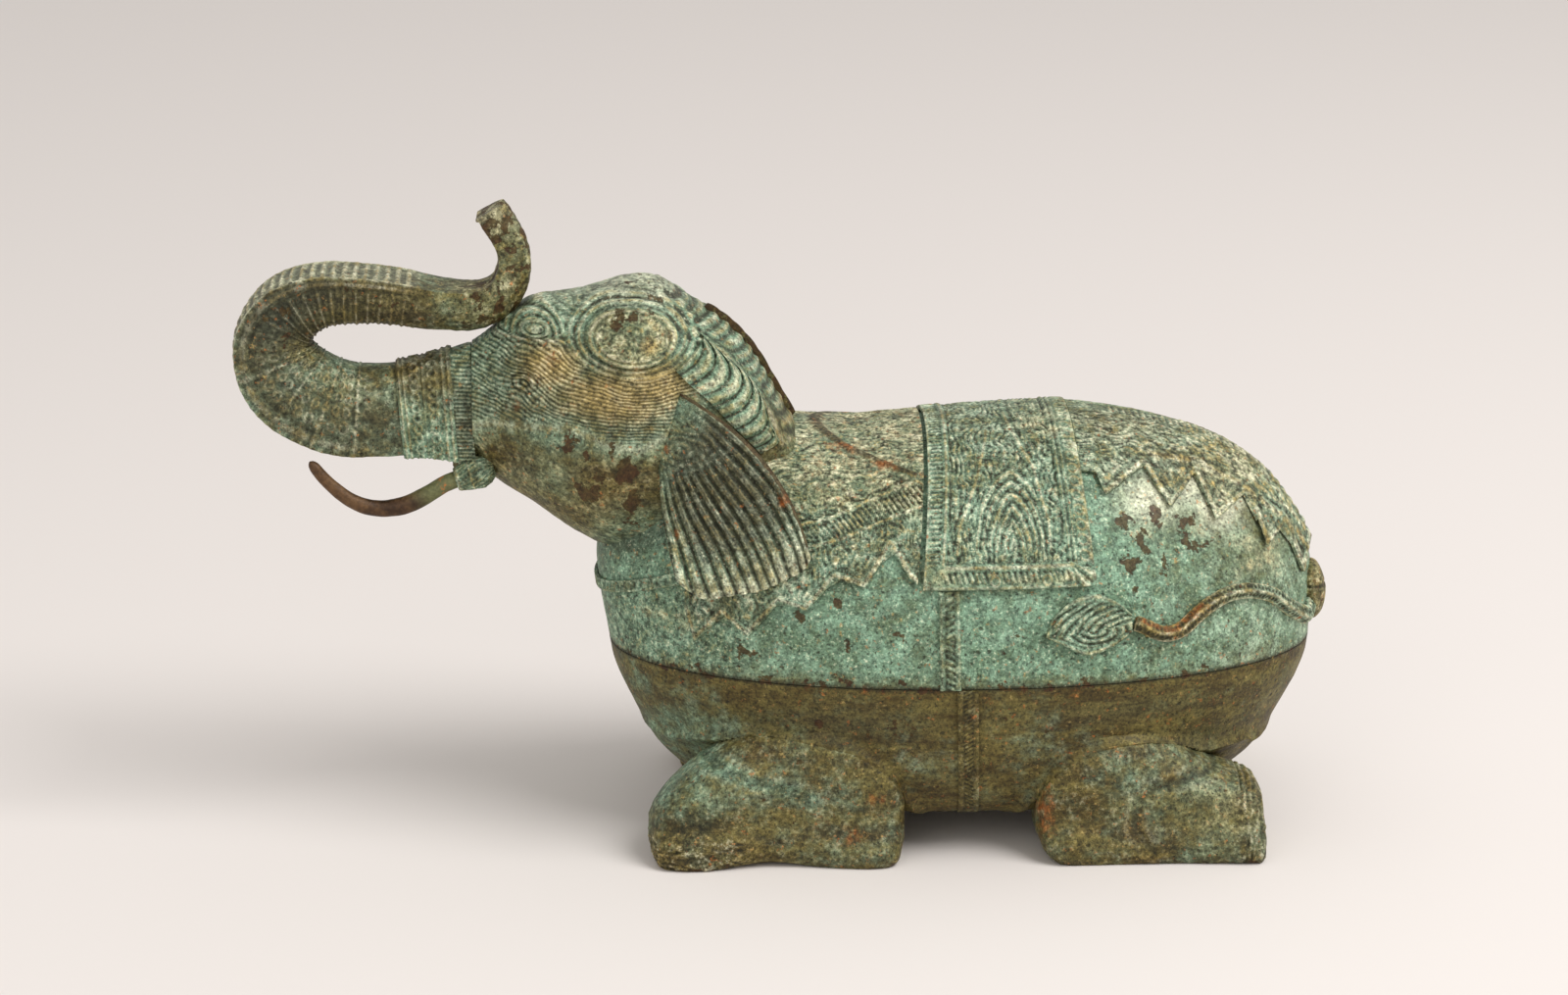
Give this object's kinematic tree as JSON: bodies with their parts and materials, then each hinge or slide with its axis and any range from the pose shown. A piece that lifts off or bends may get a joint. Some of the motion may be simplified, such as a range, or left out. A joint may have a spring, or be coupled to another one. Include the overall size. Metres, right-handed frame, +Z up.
{
  "type": "elephant-shaped lidded box",
  "caption": "Cast bronze box in the shape of a kneeling elephant; the back with head, looped trunk and ears lifts off as a lid from a bowl on folded legs.",
  "frame": {"origin": "on the ground under the middle of the object's outline", "axes": "+Z up, the elephant looks along -X, its left side faces -Y"},
  "size_m": [0.4552, 0.165, 0.2644],
  "materials": {
    "teal_patina": "matt verdigris over bronze, ochre on the high points",
    "olive_patina": "rubbed olive-brown patina",
    "dark_bronze": "dark brown worn bronze",
    "ochre_patina": "ochre and rust patina"
  },
  "bodies": {
    "base": {"base_bowl": "olive_patina", "front_left_leg": "olive_patina", "front_right_leg": "olive_patina", "rear_left_leg": "olive_patina", "rear_right_leg": "olive_patina", "base_left_girth_strap": "olive_patina", "base_right_girth_strap": "olive_patina"},
    "lid": {"lid_shell": "teal_patina", "head": "teal_patina", "trunk": "olive_patina", "trunk_collar": "teal_patina", "left_tusk": "dark_bronze", "right_tusk_stub": "dark_bronze", "tail": "ochre_patina", "tail_tuft": "teal_patina", "saddle_cloth": "teal_patina", "neck_cloth": "teal_patina", "rump_cloth": "teal_patina", "chest_collar": "teal_patina", "mane_crest": "teal_patina", "lid_left_girth_strap": "teal_patina", "left_ear": "teal_patina", "left_tusk_cuff": "teal_patina", "left_temple_medallion": "ochre_patina", "left_eye": "teal_patina", "left_neck_ribs": "teal_patina", "lid_right_girth_strap": "teal_patina", "right_ear": "teal_patina", "right_tusk_cuff": "teal_patina", "right_temple_medallion": "ochre_patina", "right_eye": "teal_patina", "right_neck_ribs": "teal_patina"}
  },
  "joints": [
    {"name": "lid_lift", "type": "slide", "parent": "base", "child": "lid", "axis": [0, 0, 1], "range_m": [0, 0.12]}
  ]
}
